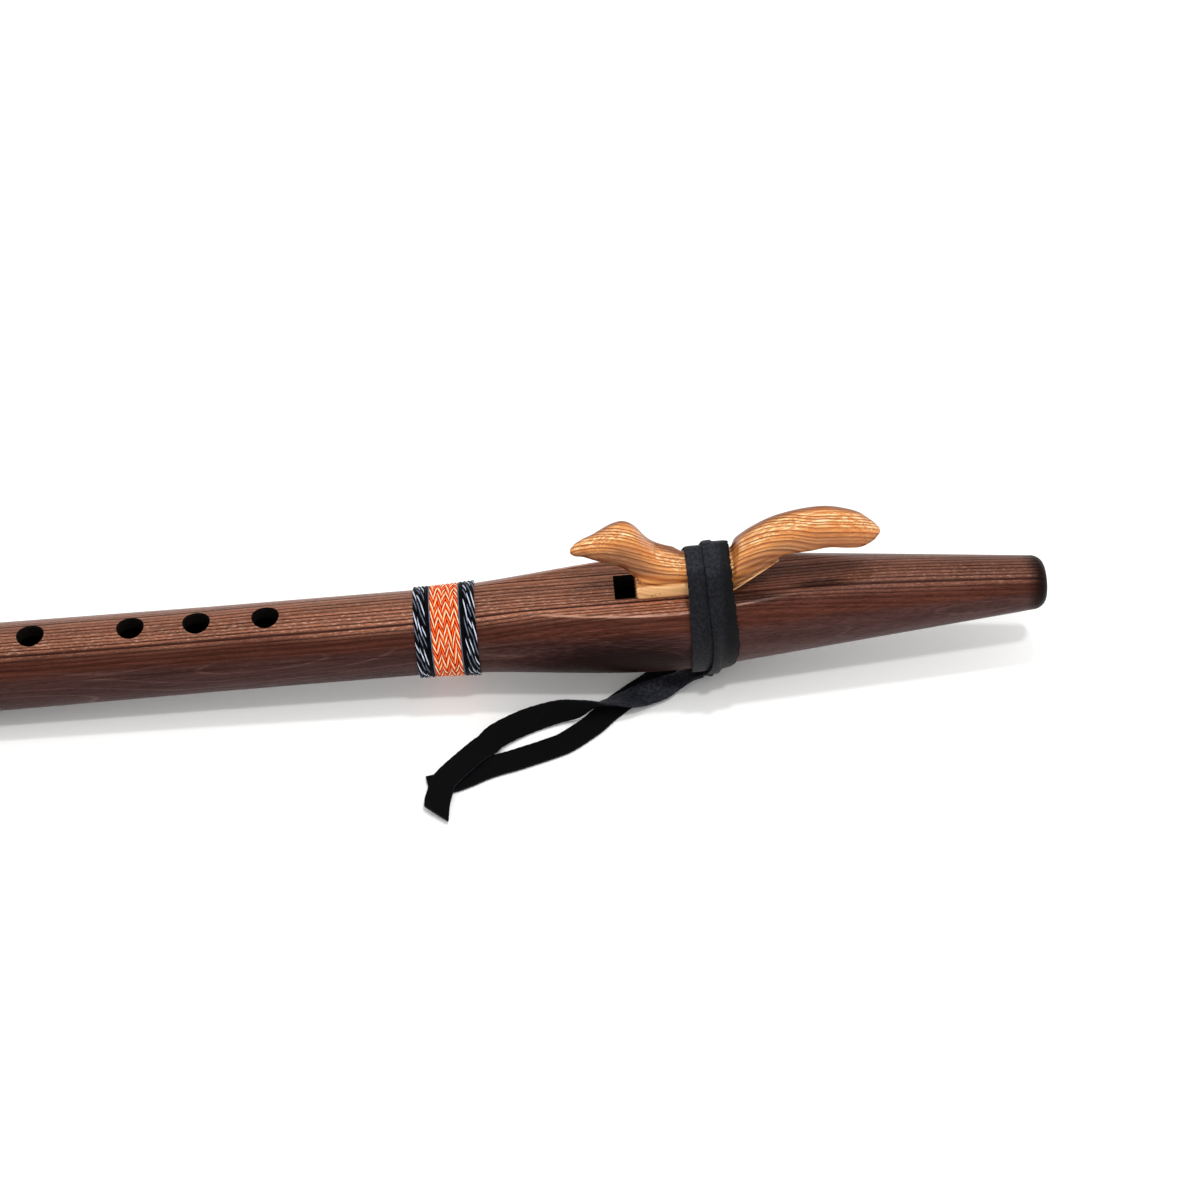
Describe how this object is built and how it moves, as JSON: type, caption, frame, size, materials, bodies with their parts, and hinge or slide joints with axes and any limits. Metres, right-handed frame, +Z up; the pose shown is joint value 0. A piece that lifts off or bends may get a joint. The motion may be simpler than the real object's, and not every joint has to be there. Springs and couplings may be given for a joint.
{
  "type": "flute",
  "caption": "Wooden flute with finger holes, a flat nest and sound window, a carved sliding block tied on with a wound leather strap, and thread bands on the barrel.",
  "frame": {"origin": "on the table, under the middle of the flute without its loose strap ends", "axes": "+X along the flute from the foot to the mouth end, +Z up from the table; the bore leans 1.7 degrees up towards the mouth end, because the flute rests on its foot and on the strap's knot"},
  "size_m": [0.5234, 0.094, 0.0774],
  "materials": {
    "body_wood": "oiled, satin",
    "block_wood": "oiled, satin",
    "strap_leather": "grained outside, suede inside",
    "grey_thread": "wound thread, black and blue grey",
    "bright_thread": "wound thread, red, orange and cream"
  },
  "bodies": {
    "flute_body": {"body_upper_half": "body_wood", "body_lower_half": "body_wood", "bore_divider": "body_wood", "strap_wrap": "strap_leather", "strap_knot": "strap_leather", "strap_end_upper": "strap_leather", "strap_end_lower": "strap_leather", "thread_band_left": "grey_thread", "thread_band_middle": "bright_thread", "thread_band_right": "grey_thread"},
    "block": {"totem_block": "block_wood"}
  },
  "joints": [
    {"name": "block_slide", "type": "slide", "parent": "flute_body", "child": "block", "axis": [0.9996, 0, 0.0298], "range_m": [-0.001, 0.001]}
  ]
}
